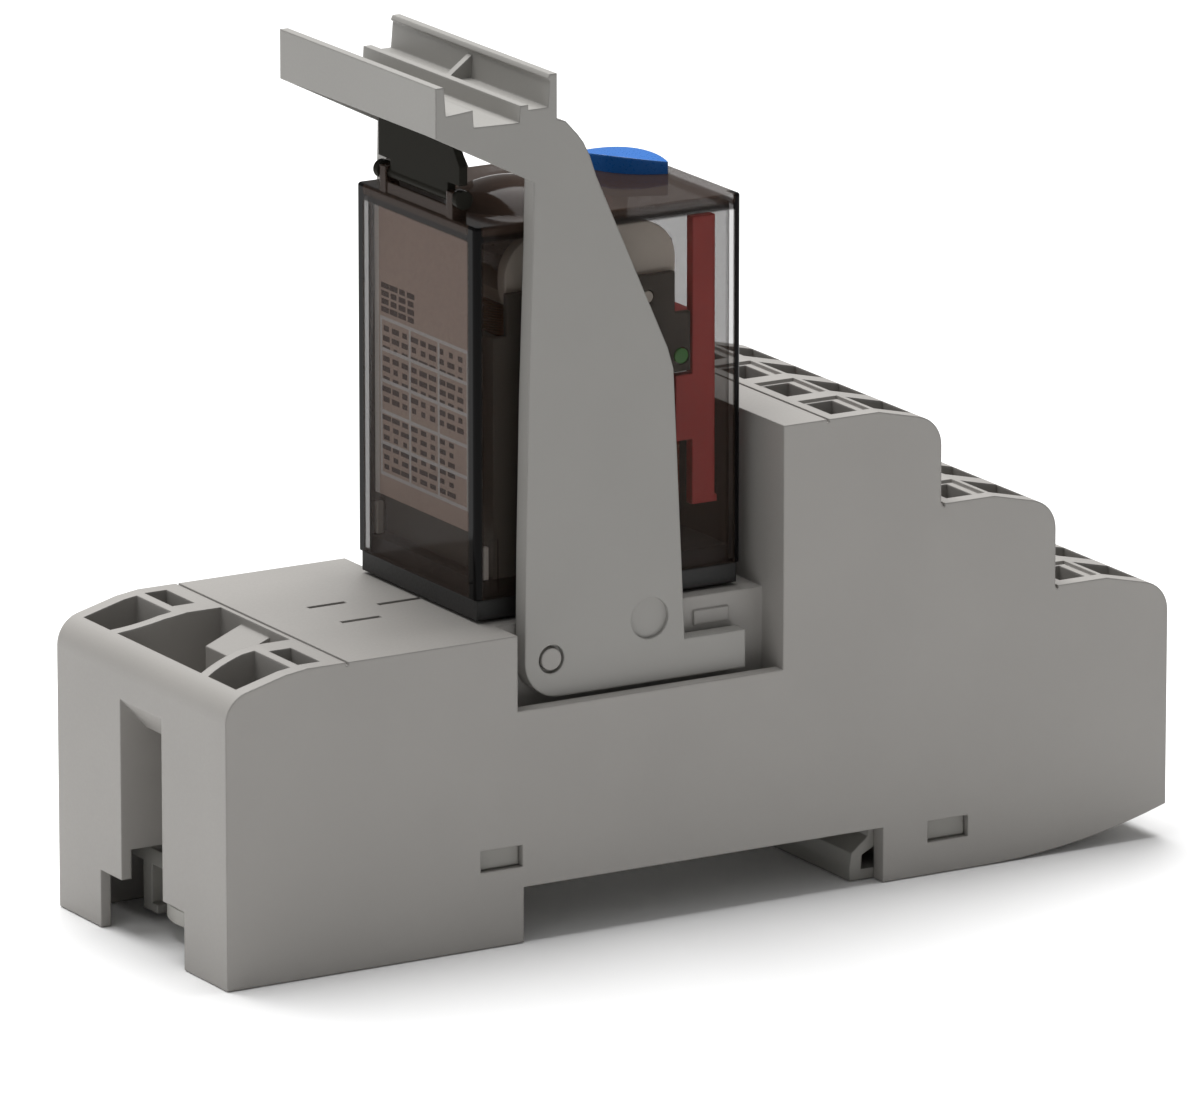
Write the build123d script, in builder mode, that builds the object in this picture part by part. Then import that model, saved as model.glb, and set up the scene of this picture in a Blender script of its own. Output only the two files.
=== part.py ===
"""Plug-in relay on a rail socket, with a retaining and ejecting lever.

Lengths are millimetres. The origin is the middle of the footprint, +Z is up, the coil terminals
are towards -X and the three contact tiers towards +X. Stations called x count from the left end
face of the socket; y counts from its centre plane; z counts from the face that it rests on.
"""
import os

from build123d import *

os.makedirs("parts", exist_ok=True)

# Fits between pieces
gap = 0.3                     # between pieces that move past each other or stand face to face
slip = 0.1                    # between pieces that slide in guides or drop into slots
pin_clearance = 0.05          # radial, where the lever turns on its pins

# Socket housing
socket_length = 97.6
socket_width = 31.0
wall = 1.6
roof = 2.4
rib = 1.2
left_block_length = 29.4
deck_top = 28.2
deck_thickness = 1.5
deck_end = 56.8
deck_half_width = 11.8
sill_top = 21.3
sill_wall = 1.3
pocket_floor = 19.5
tier_ends = (73.3, 85.5, 97.6)
tier_tops = (43.75, 34.4, 25.15)
slope_back = 6.6              # where a tier's top starts to fall, measured back from its end
slope_drop = 1.0
shoulder_back = 2.3           # where that slope meets the rounded shoulder
shoulder_drop = 2.9
end_corner = (2.0, 26.85)     # x and z where the left end's rounded corner meets the top slope
end_corner_drop = 2.69
top_bend = (6.0, 27.9)
top_slope_end = 8.2
seam_x = 12.2                 # the shallow line across the top plate
underside_start = 78.0
underside_rise = 3.0
rail_gap = (30.0, 67.4)       # x stations between which the mounting rail sits
rail_ceiling = 5.1
cells_floor = 8.0
window_size = (4.3, 2.0)
window_left = (25.6, 7.0)
window_right = (72.1, 3.0)

# Left end of the housing
end_wall = 1.0
leg_width = 7.8
leg_opening_top = 5.3
end_slot_half_width = 3.8
end_slot_span = (5.3, 22.0)
end_slot_depth = 4.5
end_slot_recess_top = 19.0
pit_span = (1.9, 11.6)
pit_bend = 6.5                # x station from which the pit's side walls spread towards its end wall
pit_half_width = 6.3
pit_spread = 1.4
pit_floor = 21.5
pit_side = 1.3                # wall between the pit and a wire hole
wire_hole_left = (1.9, 7.3)
driver_hole_left = (8.1, 10.3)
left_hole_width = 5.2
left_hole_offset = 11.4

# Marks and slits in the top plate: x stations and the y of each slit
slits = (((18.2, 22.0), 2.2), ((18.3, 22.3), -3.6), ((24.1, 28.5), 0.05))
slit_width = 0.6
slit_depth = 1.0
seam_depth = 0.3
ramp_foot = (8.0, 26.0)       # x and z of the low edge of the ramp in the pit
ramp_top = 27.5
ramp_half_width = 2.6

# Tier terminals, the driver and wire holes measured back from each tier's end
pole_count = 4
driver_hole_back = (10.1, 7.4)
wire_hole_back = (6.0, 2.1)
tier_hole_width = 4.9
tier_hole_pitch = 7.5
tier_seam_back = 11.9
sink_rim = 0.7                # the sunk rim round a driver hole

# Lever
lever_thickness = 1.7
lever_outer = 13.9
pivot = (33.8, 25.1)
pin_radius = 1.0
heel = (34.6, 25.1)
heel_radius = 3.5
cam_span = (44.0, 47.0)
cam_top = 28.1

# Relay outline
relay_x = (28.0, 55.3)
relay_width = 21.2
relay_bottom = deck_top + gap
relay_top = 64.2
cover_wall = 0.8
base_top = 31.9
cover_bottom = 30.4

# Blades of the relay: rows along the length, poles across
row_coil = 33.5
row_common = 39.85
row_closed = 46.2
row_open = 50.3
pole_pitch = 4.4
blade_width = 2.5
blade_thickness = 0.5
blade_length = 8.0
fork_wall = 0.4

# Busbars in the socket: level of each row's bar
bar_thickness = 0.8
level_open = 17.1
level_closed = 14.1
level_common = 11.1
level_coil = 16.0

# Magnet system of the relay
coil_axis_x = 40.5
core_radius = 2.6
core_top = 57.9
yoke_thickness = 1.2
yoke_span = (38.0, 49.1)
yoke_half_width = 6.6
yoke_bottom = 43.0
yoke_top = 58.3
armature_left = 34.0
post_top = 41.5
spring_x = 48.2
spring_thickness = 0.2
spring_root = 31.6 + gap
spring_tip = 42.6
contact_level = 40.0
contact_radius = 0.9
contact_travel = 0.48         # open gap between a moving rivet and its open contact

# Rail foot
foot_span = (3.4, 32.6)
foot_half_width = 7.3
foot_heights = (1.7, 4.9)
slot_span = (10.0, 24.0)
slot_half_width = 2.6
coil_wire = 0.4
foot_spring_radius = 1.2
foot_spring_turns = 4
spring_post = (14.0, 15.5)
tongue_thickness = 1.4
guide_bottom = 0.8

# Bottom carrier
carrier_plate = 1.6
seat_span = (33.0, 64.5)      # the pad that lies on the rail
seat_step = 0.1
hook_x = 64.9
hook_wall = 1.2
hook_lip = 1.3
hook_floor = 0.95
lug_depth = 0.6

# Lever arms, marks and tail
arm_right = 47.3
tail_end = 53.8
knee_height = 50.0
dimple = (43.9, 27.5)
dimple_radius = 1.9
dimple_depth = 0.3
ring_depth = 0.6              # the wider ring at the outside of the pivot holes
gusset_thickness = 0.8

# Terminals
riser_back = 6.4
riser_width = 4.0
jog_end = 56.0
clamp_drop = 5.5
clamp_reach = 3.6
clamp_thickness = 0.35
coil_clamp_y = 11.1
coil_clamp_width = 4.8

# Relay details
strip_width = 0.9
rivet_height = 0.35
coil_blade_top = 36.0
frame_x = (30.4, 50.6)
frame_outer = 9.6
frame_step = 48.4
frame_shoulder = 53.8
frame_top = 57.6
peg = (46.2, 55.6)
peg_radius = 0.55
lamp = (49.7, 49.8)
lamp_radius = 0.7
flange = 1.1
winding_top = 56.0
winding_radius = 7.2
tube_radius = 3.5
core_spigot = 1.5
cheek = (7.6, 8.9)
cheek_x = (32.0, 49.4)
cheek_top = 62.4
cheek_round = 3.6
armature_half_width = 6.4
card_bar = (49.2, 53.2)
card_leg_x = (50.9, 53.2)
card_leg_y = (8.5, 9.5)
card_bottom = 36.0
card_top = 62.3
cover_round = 0.5
cover_top_round = 0.25
lens_x = 36.4
lens_y = -2.6
lens_radius = 6.3
lens_height = 2.2
label_half_width = 8.9
label_heights = (36.0, 62.4)
ear_y = (5.4, 6.5)
flap_pivot = (28.8, 66.0)
flap_rod = 0.5
flap_thickness = 0.8
flap_half_width = 7.2
flap_top = 71.0
button_size = (9.2, 3.8)
button_turn = -57.5
button_place = (51.05, 3.05)
button_height = 1.5
button_dome = 0.45
button_bottom = 62.2

# Worked out from the sizes above
left_end = -socket_length / 2
half_width = socket_width / 2
inner_half_width = half_width - wall
cell_width = (2 * inner_half_width - (pole_count - 1) * rib) / pole_count
cell_pitch = cell_width + rib
pole_numbers = [number - (pole_count - 1) / 2 for number in range(pole_count)]
relay_half_width = relay_width / 2
cover_inner = relay_half_width - cover_wall
contact_rows = (row_common, row_closed, row_open)
button_centre = (left_end + button_place[0], button_place[1], cover_bottom)
button_plane = Plane(origin=button_centre).rotated((0, 0, button_turn))


def block(x_span, y_span, z_span, mode=Mode.ADD):
    """A square-cornered block between pairs of stations"""
    centre = (left_end + sum(x_span) / 2, sum(y_span) / 2, sum(z_span) / 2)
    size = (x_span[1] - x_span[0], y_span[1] - y_span[0], z_span[1] - z_span[0])
    with Locations(centre):
        Box(*size, mode=mode)


def around(middle, width):
    """The pair of stations that lie half a width to each side of a middle"""
    return (middle - width / 2, middle + width / 2)


def both_sides(y_span):
    """A span and its mirror image across the centre plane"""
    return [y_span, (-y_span[1], -y_span[0])]


def side_plane(y):
    """A plane parallel to the side faces: x from the left end, height z, drawn towards -Y"""
    return Plane(origin=(left_end, y, 0), x_dir=(1, 0, 0), z_dir=(0, -1, 0))


def cross_cylinder(x, z, radius, y_span, mode=Mode.ADD):
    """A round bar or hole that runs across the width"""
    with BuildSketch(side_plane(y_span[1])) as disc:
        with Locations((x, z)):
            Circle(radius)
    extrude(disc.sketch, amount=y_span[1] - y_span[0], mode=mode)


def save(piece, name):
    """Label a finished piece and write its file"""
    piece.part.label = name
    export_step(piece.part, f"parts/{name}.step")


def tier_outline(x_end, top):
    """Side outline of one tier: its top falls a little towards the rounded shoulder"""
    with BuildLine() as outline:
        flat = Polyline((deck_end, rail_ceiling), (deck_end, top), (x_end - slope_back, top))
        slope = Line(flat @ 1, (x_end - shoulder_back, top - slope_drop))
        curve = TangentArc(slope @ 1, (x_end, top - slope_drop - shoulder_drop), tangent=slope % 1)
        Polyline(curve @ 1, (x_end, rail_ceiling), (deck_end, rail_ceiling))
    make_face(outline.edges())


# The housing: one moulding with a coil-side block, a deck for the relay and three tiers
with BuildPart() as housing:
    with BuildSketch(side_plane(half_width)):
        with BuildLine():
            end_face = Line((0, 0), (0, end_corner[1] - end_corner_drop))
            corner = TangentArc(end_face @ 1, end_corner, tangent=(0, 1))
            Polyline(corner @ 1, top_bend, (top_slope_end, deck_top), (deck_end, deck_top),
                     (deck_end, rail_ceiling), (rail_gap[0], rail_ceiling), (rail_gap[0], 0), (0, 0))
        make_face()
        for x_end, top in zip(tier_ends, tier_tops):
            tier_outline(x_end, top)
        with Locations(((rail_gap[1] + tier_ends[-1]) / 2, rail_ceiling / 2)):
            Rectangle(tier_ends[-1] - rail_gap[1], rail_ceiling)
    extrude(amount=socket_width)
    with BuildSketch(side_plane(half_width)):
        with BuildLine():
            curve = TangentArc((underside_start, 0), (tier_ends[-1], underside_rise), tangent=(1, 0))
            Polyline(curve @ 1, (tier_ends[-1], -1), (underside_start, -1), (underside_start, 0))
        make_face()
    extrude(amount=socket_width, mode=Mode.SUBTRACT)

    # Lever pockets beside the deck
    for side in both_sides((deck_half_width, half_width)):
        block((left_block_length, deck_end), side, (sill_top, deck_top), mode=Mode.SUBTRACT)
    for side in both_sides((deck_half_width, half_width - sill_wall)):
        block((left_block_length, deck_end), side, (pocket_floor, sill_top), mode=Mode.SUBTRACT)

    # Hollow under the deck, and the upper room for the contact forks
    pocket_bottom = pocket_floor - sill_wall
    block((left_block_length + wall, deck_end), (-inner_half_width, inner_half_width), (0, pocket_bottom),
          mode=Mode.SUBTRACT)
    block((left_block_length + wall, deck_end), around(0, 2 * (deck_half_width - deck_thickness)),
          (pocket_bottom, deck_top - deck_thickness), mode=Mode.SUBTRACT)

    # Cells of the three tiers, one per pole, and their driver and wire holes
    for x_end, top in zip(tier_ends, tier_tops):
        for number in pole_numbers:
            cell = around(number * cell_pitch, cell_width)
            hole = around(number * tier_hole_pitch, tier_hole_width)
            block((deck_end + wall, x_end - wall), cell, (cells_floor, top - roof), mode=Mode.SUBTRACT)
            for back in (driver_hole_back, wire_hole_back):
                block((x_end - back[0], x_end - back[1]), hole, (top - roof - 1, top + 1), mode=Mode.SUBTRACT)
            block((x_end - driver_hole_back[0] - sink_rim, x_end - driver_hole_back[1] + sink_rim),
                  around(number * tier_hole_pitch, tier_hole_width + sink_rim), (top - gap, top + 1),
                  mode=Mode.SUBTRACT)
        block(around(x_end - tier_seam_back, gap), (-half_width - 1, half_width + 1),
              (top - seam_depth, top + 1), mode=Mode.SUBTRACT)
    for number in pole_numbers:
        block((deck_end, deck_end + wall), around(number * cell_pitch, cell_width),
              (cells_floor, pocket_bottom), mode=Mode.SUBTRACT)
    block((deck_end, tier_ends[-1] - wall), (-inner_half_width, inner_half_width), (-1, cells_floor),
          mode=Mode.SUBTRACT)

    # Left block: one hollow below, terminal cells at both sides and the module pit between them
    block((end_wall, left_block_length + wall), (-inner_half_width, inner_half_width), (-1, cells_floor),
          mode=Mode.SUBTRACT)
    cell_inner = pit_half_width + 0.7
    middle_room = around(0, 2 * (cell_inner - rib))
    for side in both_sides((cell_inner, inner_half_width)):
        block((end_wall, left_block_length - wall), side, (cells_floor, pit_floor - gap), mode=Mode.SUBTRACT)
        block((left_block_length - wall, left_block_length + wall), side, (cells_floor, pocket_bottom),
              mode=Mode.SUBTRACT)
    for side in both_sides((cell_inner + pit_side, inner_half_width)):
        block((end_wall, left_block_length - wall), side, (cells_floor, end_corner[1] - roof),
              mode=Mode.SUBTRACT)
    block((end_slot_depth + rib, left_block_length - wall), middle_room, (cells_floor, pit_floor - wall),
          mode=Mode.SUBTRACT)
    block((pit_span[1] + rib, left_block_length - wall), middle_room, (cells_floor, deck_top - roof),
          mode=Mode.SUBTRACT)

    # The module pit, with side walls that curve round the wire holes, and the ramp inside it
    far_end = pit_half_width + pit_spread
    with BuildSketch(Plane(origin=(left_end, 0, pit_floor))):
        with BuildLine():
            wall_a = ThreePointArc((pit_bend, -pit_half_width), (sum(pit_span) / 3, -pit_half_width - 0.35),
                                   (pit_span[0], -far_end))
            wall_b = ThreePointArc((pit_span[0], far_end), (sum(pit_span) / 3, pit_half_width + 0.35),
                                   (pit_bend, pit_half_width))
            Line(wall_a @ 1, wall_b @ 0)
            Polyline(wall_b @ 1, (pit_span[1], pit_half_width), (pit_span[1], -pit_half_width), wall_a @ 0)
        make_face()
    extrude(amount=deck_top - pit_floor + 1, mode=Mode.SUBTRACT)
    with BuildSketch(side_plane(ramp_half_width)):
        with BuildLine():
            Polyline((ramp_foot[0], pit_floor), (pit_span[1], pit_floor), (pit_span[1], ramp_top), ramp_foot,
                     (ramp_foot[0], pit_floor))
        make_face()
    extrude(amount=2 * ramp_half_width)

    # Wire holes with one arched corner each, driver holes, and the marks in the top plate
    for side in (-1, 1):
        outer = side * (left_hole_offset + left_hole_width / 2)
        inner = side * (pit_half_width + pit_side)
        with BuildSketch(Plane(origin=(left_end, 0, pit_floor + 1))):
            with BuildLine():
                arch = ThreePointArc((wire_hole_left[1], inner),
                                     (sum(wire_hole_left) / 2 - 0.6, inner + side * 0.4),
                                     (wire_hole_left[0], inner + side * pit_spread))
                Polyline(arch @ 1, (wire_hole_left[0], outer), (wire_hole_left[1], outer), arch @ 0)
            make_face()
        extrude(amount=deck_top - pit_floor, mode=Mode.SUBTRACT)
        block(driver_hole_left, around(side * left_hole_offset, left_hole_width),
              (deck_top - 6, deck_top + 1), mode=Mode.SUBTRACT)
    for x_span, y in slits:
        block(x_span, around(y, slit_width), (deck_top - slit_depth, deck_top + 1), mode=Mode.SUBTRACT)
    block(around(seam_x, gap), (-half_width - 1, half_width + 1), (deck_top - seam_depth, deck_top + 1),
          mode=Mode.SUBTRACT)

    # Left end: the wide opening between the legs and the driver slot above it
    block((-1, end_wall), around(0, socket_width - 2 * leg_width), (-1, leg_opening_top), mode=Mode.SUBTRACT)
    with BuildSketch(side_plane(end_slot_half_width)):
        with BuildLine():
            Polyline((-1, end_slot_span[0]), (-1, end_slot_span[1]), (0, end_slot_span[1]),
                     (end_slot_depth * 0.6, end_slot_recess_top), (end_slot_depth, end_slot_recess_top),
                     (end_slot_depth, end_slot_span[0]), (-1, end_slot_span[0]))
        make_face()
    extrude(amount=2 * end_slot_half_width, mode=Mode.SUBTRACT)

    # Windows that the carrier's lugs snap into
    for x, z in (window_left, window_right):
        block((x, x + window_size[0]), (-half_width - 1, half_width + 1), (z, z + window_size[1]),
              mode=Mode.SUBTRACT)

    # Slots for the relay's blades
    for x in contact_rows:
        for number in pole_numbers:
            block(around(x, blade_thickness + 1), around(number * pole_pitch, blade_width + 1),
                  (deck_top - deck_thickness - 1, deck_top + 1), mode=Mode.SUBTRACT)
    for number in (pole_numbers[0], pole_numbers[-1]):
        block(around(row_coil, blade_thickness + 1), around(number * pole_pitch, blade_width + 1),
              (deck_top - deck_thickness - 1, deck_top + 1), mode=Mode.SUBTRACT)

    # Notches for the lever's cams, the pins it turns on and a guide lug beside its tail
    for side in both_sides((relay_half_width - 1.4, deck_half_width)):
        block((cam_span[0] - 1.2, cam_span[1] + 0.5), side, (cam_top - 3.6, deck_top + 1), mode=Mode.SUBTRACT)
    for side in both_sides((deck_half_width, lever_outer)):
        cross_cylinder(*pivot, pin_radius, side)
    for side in both_sides((deck_half_width, deck_half_width + 0.2)):
        block((49.6, 53.2), side, (25.6, 26.9))
save(housing, "housing")

# The carrier that closes the housing from below and hooks over one edge of the mounting rail
with BuildPart() as carrier:
    block((foot_span[0] + 1.6, rail_gap[1] + 0.5), around(0, 2 * (inner_half_width - slip)),
          (rail_ceiling + seat_step, rail_ceiling + carrier_plate))
    block(seat_span, around(0, 2 * (inner_half_width - slip)), (rail_ceiling, rail_ceiling + carrier_plate))
    with BuildSketch(side_plane(inner_half_width - slip)):
        with BuildLine():
            Polyline((hook_x, 0), (hook_x, hook_lip), (hook_x + 0.2, 2 * hook_lip), (hook_x + 1.9, 3.95),
                     (hook_x + 2.1, rail_ceiling + seat_step), (hook_x + 3.1, rail_ceiling + seat_step),
                     (hook_x + 2.9, 3.1),
                     (hook_x + hook_wall + 0.1, 2.3), (hook_x + hook_wall, hook_floor),
                     (underside_start, hook_floor), (underside_start, 0), (hook_x, 0))
        make_face()
        with BuildLine():
            bottom = TangentArc((underside_start, 0.05), (tier_ends[-1] - wall - slip, underside_rise - 0.3),
                                tangent=(1, 0))
            top = TangentArc((underside_start, hook_floor),
                             (tier_ends[-1] - wall - slip, underside_rise + 0.7), tangent=(1, 0))
            Line(bottom @ 0, top @ 0)
            Line(bottom @ 1, top @ 1)
        make_face()
    extrude(amount=2 * (inner_half_width - slip))
    for side in both_sides((inner_half_width - rib, inner_half_width - slip)):
        for x, z, rib_bottom, rib_top in ((*window_left, rail_ceiling, window_left[1] + window_size[1] + 0.5),
                                          (*window_right, 0.5, cells_floor - 1)):
            block((x - 1, x + window_size[0] + 1), side, (rib_bottom, rib_top))
    for side in both_sides((inner_half_width - rib, half_width - lug_depth)):
        for x, z in (window_left, window_right):
            block((x + slip, x + window_size[0] - slip), side, (z + slip, z + window_size[1] - slip))
    for side in both_sides((foot_half_width + slip, foot_half_width + slip + wall)):
        block((foot_span[0] + 1.6, left_block_length), side, (guide_bottom, rail_ceiling + seat_step))
    for side in both_sides((foot_half_width - 0.9, foot_half_width + slip)):
        block((foot_span[0] + 1.6, left_block_length), side, (guide_bottom, foot_heights[0] - slip))
    block(spring_post, around(0, slot_half_width), (foot_heights[0] + 0.6, rail_ceiling + seat_step))
save(carrier, "bottom_carrier")

# The sliding foot that latches under the other edge of the rail
with BuildPart() as foot:
    block((foot_span[0] + foot_half_width * 0.45, rail_gap[0]), around(0, 2 * foot_half_width), foot_heights)
    with BuildSketch(Plane.XY.offset(foot_heights[0])):
        with Locations((left_end + foot_span[0] + foot_half_width, 0)):
            Ellipse(foot_half_width, foot_half_width - 0.3)
        with Locations((left_end + foot_span[0] + 1.5 * foot_half_width, 0)):
            Rectangle(foot_half_width, 3 * foot_half_width, mode=Mode.SUBTRACT)
    extrude(amount=tongue_thickness)
    with BuildSketch(side_plane(foot_half_width)):
        with BuildLine():
            Polyline((rail_gap[0], foot_heights[0]), (foot_span[1], foot_heights[0] + 0.4),
                     (foot_span[1], 3.3), (rail_gap[0], rail_ceiling - 1.2), (rail_gap[0], foot_heights[0]))
        make_face()
    extrude(amount=2 * foot_half_width)
    block(slot_span, around(0, 2 * slot_half_width), (0, rail_ceiling), mode=Mode.SUBTRACT)
    block((foot_span[0] + 2.2, foot_span[0] + 4.4), around(0, 5), (0, rail_ceiling), mode=Mode.SUBTRACT)
    for side in both_sides((foot_half_width - 1.1, foot_half_width)):
        block((0, left_block_length + 1), side, (0, foot_heights[0] + 0.4), mode=Mode.SUBTRACT)
save(foot, "rail_foot")

# The coil spring that pushes the foot towards the rail
foot_spring_length = slot_span[1] - spring_post[1] - slip
with BuildPart() as foot_spring:
    with BuildLine() as coil_path:
        Helix(pitch=(foot_spring_length - coil_wire) / foot_spring_turns,
              height=foot_spring_length - coil_wire, radius=foot_spring_radius,
              center=(left_end + spring_post[1] + (slip + coil_wire) / 2, 0, sum(foot_heights) / 2 + 0.1),
              direction=(1, 0, 0))
    with BuildSketch(Plane(coil_path.line @ 0, z_dir=coil_path.line % 0)):
        Circle(coil_wire / 2)
    sweep(path=coil_path.line)
save(foot_spring, "foot_spring")

# Retaining lever: two arms and a channel-shaped crossbar that carries a marking strip
arm_inner = lever_outer - lever_thickness
channel = ((22.2, 73.6), (22.2, 78.1), (23.0, 78.1), (23.2, 75.5), (25.9, 75.75), (26.0, 74.2), (30.6, 74.1),
           (30.7, 75.6), (31.5, 75.6), (31.5, 75.15), (33.5, 75.15))
strip_lip = ((33.7, 77.5), (33.5, 77.7), (33.7, 78.1), (34.4, 78.1))
shoulder_line = ((34.4, 74.0), (35.3, 73.7), (36.5, 72.4), (37.1, 71.6), (37.75, 70.3), (38.4, 68.4))
arm_left = ((32.1, 68.6), (32.0, 63.4), (31.5, 49.0), (31.2, 34.6))
with BuildPart() as lever:
    with BuildSketch(side_plane(lever_outer)):
        with BuildLine():
            round_heel = CenterArc(heel, heel_radius, 180, 90)
            Polyline(round_heel @ 1, (tail_end, pivot[1] - heel_radius), (tail_end, pivot[1]),
                     (arm_right + 0.2, pivot[1]), (arm_right - 1.0, knee_height),
                     (arm_right - 1.6, knee_height + 2), *reversed(shoulder_line), *reversed(strip_lip),
                     *reversed(channel), *arm_left, round_heel @ 0)
        make_face()
    extrude(amount=2 * lever_outer)
    block((0, socket_length), (-arm_inner, arm_inner), (0, 90), mode=Mode.SUBTRACT)
    with BuildSketch(side_plane(lever_outer)):
        with BuildLine():
            Polyline(*channel, *strip_lip, (34.4, 74.1), (31.2, 74.1), (30.8, 73.0), (25.6, 73.0),
                     (25.3, 74.2), (23.2, 74.2), (23.2, 73.6), channel[0])
        make_face()
    extrude(amount=2 * lever_outer)
    with BuildSketch(side_plane(gusset_thickness / 2)):
        with BuildLine():
            Polyline((31.3, 75.0), (31.3, 75.5), (33.6, 77.2), (33.6, 75.0), (31.3, 75.0))
        make_face()
    extrude(amount=gusset_thickness)
    for side in both_sides((arm_inner - 0.1, lever_outer + 1)):
        cross_cylinder(*pivot, pin_radius + pin_clearance, side, mode=Mode.SUBTRACT)
    for side in both_sides((lever_outer - ring_depth, lever_outer + 1)):
        cross_cylinder(*pivot, pin_radius + gap, side, mode=Mode.SUBTRACT)
    for side in both_sides((lever_outer - dimple_depth, lever_outer + 1)):
        cross_cylinder(*dimple, dimple_radius, side, mode=Mode.SUBTRACT)
    for side in both_sides((relay_half_width - 1.1, arm_inner + 0.1)):
        block(cam_span, side, (cam_top - 2, cam_top))
save(lever, "retaining_lever")


# Busbars: a fork under the deck for a relay blade, a bar, and a riser in the terminal's cell
fork_half = blade_thickness / 2 + slip / 2 + fork_wall
fork_top = deck_top - deck_thickness - gap
blade_tip = relay_bottom - blade_length


def fork(x, y, level):
    """A two-leaf contact that grips one blade"""
    block((x - fork_half, x + fork_half), around(y, blade_width), (level, fork_top))
    block(around(x, blade_thickness + slip), around(y, blade_width), (blade_tip - 0.6, fork_top),
          mode=Mode.SUBTRACT)


def tier_busbars(row, level, x_end, top):
    """One busbar per pole, from its row of forks to one tier"""
    riser = (x_end - riser_back - bar_thickness, x_end - riser_back)
    with BuildPart() as bars:
        for number in pole_numbers:
            pole_y = number * pole_pitch
            cell_y = number * cell_pitch
            ends = sorted((pole_y, cell_y))
            height = (level, level + bar_thickness)
            fork(row, pole_y, level)
            block((row - fork_half, jog_end), around(pole_y, blade_width), height)
            block((jog_end - blade_width, jog_end),
                  (ends[0] - blade_width / 2, ends[1] + blade_width / 2), height)
            block((jog_end, riser[1]), around(cell_y, blade_width), height)
            block(riser, around(cell_y, riser_width), (level, top - roof - gap))
    return bars


for tier, name, row, level in ((0, "open_contact_busbars", row_open, level_open),
                               (1, "closed_contact_busbars", row_closed, level_closed),
                               (2, "common_busbars", row_common, level_common)):
    save(tier_busbars(row, level, tier_ends[tier], tier_tops[tier]), name)

# Coil busbars, from the two coil forks to the terminals at the left end
coil_y = pole_numbers[-1] * pole_pitch
left_riser = (wire_hole_left[1] + 0.1, wire_hole_left[1] + 0.1 + bar_thickness)
with BuildPart() as coil_busbars:
    for sign in (-1, 1):
        jog = sorted((sign * (coil_y - blade_width / 2), sign * (left_hole_offset + blade_width / 2)))
        fork(row_coil, sign * coil_y, level_coil)
        block(around(row_coil, blade_width), jog, (level_coil, level_coil + bar_thickness))
        block((left_riser[0], row_coil), around(sign * left_hole_offset, blade_width),
              (level_coil, level_coil + bar_thickness))
        block(left_riser, around(sign * left_hole_offset, riser_width),
              (level_coil, end_corner[1] - roof - gap))
save(coil_busbars, "coil_busbars")


def bent_leaf(x, top, y, width, direction):
    """A bent spring leaf that presses a wire against its busbar"""
    plane = side_plane(y + width / 2)
    with BuildSketch(plane) as section:
        with BuildLine() as path:
            Polyline((x, top - clamp_drop - 6), (x, top - clamp_drop),
                     (x - direction * clamp_reach, top - clamp_drop - 3.5))
        trace(path.line, clamp_thickness)
    extrude(section.sketch, amount=width)


# Wire clamps of the twelve contact terminals
clamp_width = cell_width - 2 * gap
with BuildPart() as contact_clamps:
    for x_end, top in zip(tier_ends, tier_tops):
        for number in pole_numbers:
            bent_leaf(x_end - wall - gap, top, number * cell_pitch, clamp_width, 1)
save(contact_clamps, "contact_wire_clamps")

# Wire clamps of the two coil terminals
with BuildPart() as coil_clamps:
    for sign in (-1, 1):
        bent_leaf(end_wall + gap, end_corner[1], sign * coil_clamp_y, coil_clamp_width, -1)
save(coil_clamps, "coil_wire_clamps")

# Relay base: a rim below the cover and a plate inside it, with slots for the blades
inner_x = (relay_x[0] + cover_wall, relay_x[1] - cover_wall)
blade_rows = [(row, number * pole_pitch) for row in contact_rows for number in pole_numbers]
coil_places = [(row_coil, -coil_y), (row_coil, coil_y)]
strip_offset = blade_width / 2 + 0.15
with BuildPart() as base:
    block((relay_x[0] + gap, relay_x[1] - gap), around(0, relay_width - 2 * gap),
          (relay_bottom, cover_bottom - slip))
    block((inner_x[0] + slip, inner_x[1] - slip), around(0, 2 * (cover_inner - slip)),
          (relay_bottom, base_top))
    for x, y in blade_rows + coil_places:
        block(around(x, blade_thickness + slip), around(y, blade_width + slip),
              (relay_bottom - 1, base_top + 1), mode=Mode.SUBTRACT)
    for number in pole_numbers:
        y = number * pole_pitch
        block((row_common - 0.3, spring_x + 0.35),
              (y + strip_offset - 0.1, y + strip_offset + strip_width + 0.1),
              (base_top - 0.7, base_top + 1), mode=Mode.SUBTRACT)
        for x in (row_common, spring_x):
            block(around(x, 0.7), (y - blade_width / 2, y + strip_offset + strip_width + 0.1),
                  (base_top - 0.7, base_top + 1), mode=Mode.SUBTRACT)
save(base, "relay_base")

# Fixed contacts that are closed at rest, and those that close when the coil pulls
moving_face = spring_thickness / 2 + rivet_height
for name, row, direction, face in (("closed_contacts", row_closed, 1, spring_x - moving_face - 0.03),
                                   ("open_contacts", row_open, -1, spring_x + moving_face + contact_travel)):
    with BuildPart() as contacts:
        for number in pole_numbers:
            y = number * pole_pitch
            block(around(row, blade_thickness), around(y, blade_width), (blade_tip, post_top))
            with BuildSketch(Plane(origin=(left_end + row, y, contact_level), z_dir=(direction, 0, 0))):
                Circle(contact_radius)
            extrude(amount=abs(face - row))
    save(contacts, name)

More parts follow.
